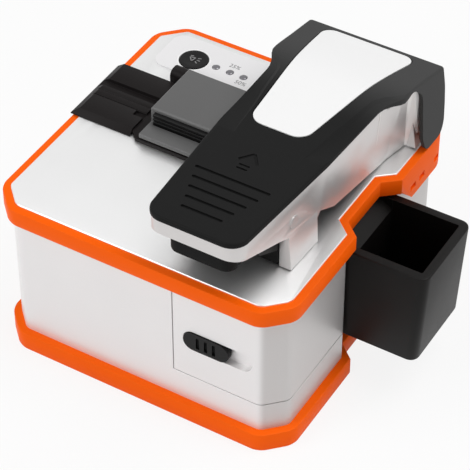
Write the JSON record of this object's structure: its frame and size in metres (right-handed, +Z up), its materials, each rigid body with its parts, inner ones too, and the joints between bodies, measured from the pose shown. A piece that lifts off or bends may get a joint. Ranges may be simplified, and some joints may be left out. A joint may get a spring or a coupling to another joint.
{
  "type": "fibre cleaver",
  "caption": "Desktop optical-fibre cleaver: silver metal body with orange bumpers, lever arm, fibre guide and clamp lid, battery door and scrap bin.",
  "frame": {"origin": "Middle of the body's footprint, on the plane the feet and lower bumper rest on.", "axes": "+X towards the scrap bin on the right, -Y towards the person using it, +Z up out of the deck."},
  "size_m": [0.1233, 0.107, 0.0859],
  "materials": {
    "silver_casing": "fine blasted",
    "orange_bumper": "satin",
    "pale_deck": "satin",
    "black_plastic": "fine grained",
    "grey_plastic": "smooth",
    "silver_metal": "brushed",
    "steel": "ground",
    "black_metal": "satin",
    "dark_rubber": "matt",
    "label_white": "smooth",
    "board_green": "satin",
    "cell_wrap": "smooth",
    "carbide": "polished",
    "lamp_lens": "clear",
    "panel_film": "satin",
    "magnet": "plated"
  },
  "bodies": {
    "body": {"body_shell": "silver_casing", "base_plate": "black_plastic", "lower_bumper": "orange_bumper", "upper_bumper": "orange_bumper", "rubber_feet": "dark_rubber", "base_screws": "steel", "corner_posts": "black_plastic", "deck_plate": "pale_deck", "latch_keeper": "black_plastic", "battery_shelf": "black_plastic", "circuit_board": "board_green", "usb_port": "steel", "button_board": "black_plastic", "indicator_leds": "lamp_lens", "control_overlay": "panel_film", "guide_plate": "black_metal", "clamp_stage": "black_metal", "lower_lid_pad": "dark_rubber", "lid_hinge_pin": "steel", "lower_clamp_blocks": "silver_metal", "lower_blade_pads": "dark_rubber", "hinge_brackets": "steel", "guide_rods": "steel", "rod_holders": "black_plastic", "roller_cradle": "black_plastic", "roller_motor": "steel", "drive_belt": "dark_rubber", "dock_magnets": "magnet", "bin_dock": "black_plastic"},
    "battery_module": {"corner_door": "silver_casing", "battery_tray": "black_plastic", "battery_pack": "cell_wrap"},
    "latch": {"door_latch": "black_plastic", "latch_bolt": "black_plastic"},
    "lid": {"lid_cover": "grey_plastic", "lid_core": "black_plastic", "upper_lid_pad": "dark_rubber"},
    "arm": {"arm_cover": "black_plastic", "arm_frame": "silver_metal", "arm_label_plate": "label_white", "arm_pad": "dark_rubber", "arm_core": "black_plastic", "core_pin": "steel", "clamp_knob": "steel", "hinge_pin": "steel", "arm_spring": "steel", "drive_lever": "black_plastic", "drive_pin": "steel", "upper_blade_pads": "dark_rubber", "anvil": "carbide"},
    "carriage": {"drive_bar": "silver_metal", "blade_carriage": "silver_metal", "blade_axle": "steel"},
    "blade": {"blade_wheel": "carbide"},
    "feed_roller": {"drive_roller": "dark_rubber", "roller_axle": "steel"},
    "motor_shaft": {"motor_pulley": "steel"},
    "pressing_roller": {"pinch_roller": "dark_rubber"},
    "button": {"lamp_button": "black_plastic"},
    "bin": {"scrap_bin": "black_plastic"}
  },
  "joints": [
    {"name": "arm_hinge", "type": "hinge", "parent": "body", "child": "arm", "pos_m": [0.0245, 0.038, 0.0705], "axis": [-1, 0, 0], "range_deg": [0, 60]},
    {"name": "lid_hinge", "type": "hinge", "parent": "body", "child": "lid", "pos_m": [-0.014, 0.025, 0.06], "axis": [-1, 0, 0], "range_deg": [0, 95]},
    {"name": "battery_slide", "type": "slide", "parent": "body", "child": "battery_module", "axis": [0, -1, 0], "range_m": [0, 0.03]},
    {"name": "latch_slide", "type": "slide", "parent": "battery_module", "child": "latch", "axis": [1, 0, 0], "range_m": [0, 0.0066]},
    {"name": "blade_slide", "type": "slide", "parent": "body", "child": "carriage", "axis": [0, -1, 0], "range_m": [0, 0.0095]},
    {"name": "blade_spin", "type": "hinge", "parent": "carriage", "child": "blade", "pos_m": [0.018, 0.0124, 0.0512], "axis": [1, 0, 0], "continuous": true},
    {"name": "feed_roller_spin", "type": "hinge", "parent": "body", "child": "feed_roller", "pos_m": [0.0356, 0.0073, 0.0568], "axis": [0, 1, 0], "continuous": true},
    {"name": "motor_spin", "type": "hinge", "parent": "body", "child": "motor_shaft", "pos_m": [0.0356, 0.0163, 0.046], "axis": [0, 1, 0], "continuous": true},
    {"name": "pinch_roller_spin", "type": "hinge", "parent": "arm", "child": "pressing_roller", "pos_m": [0.0356, 0.0073, 0.0612], "axis": [0, 1, 0], "continuous": true},
    {"name": "button_press", "type": "slide", "parent": "body", "child": "button", "axis": [0, 0, -1], "range_m": [0, 0.0008], "stiffness_N_per_m": 900, "springref_m": -0.0006},
    {"name": "bin_slide", "type": "slide", "parent": "body", "child": "bin", "axis": [1, 0, 0], "range_m": [0, 0.03]}
  ],
  "couplings": [
    {"joint": "blade_slide", "follows": "arm_hinge", "m_per_rad": 0.00907},
    {"joint": "motor_spin", "follows": "feed_roller_spin", "ratio": 1},
    {"joint": "pinch_roller_spin", "follows": "feed_roller_spin", "ratio": -1.3333}
  ]
}
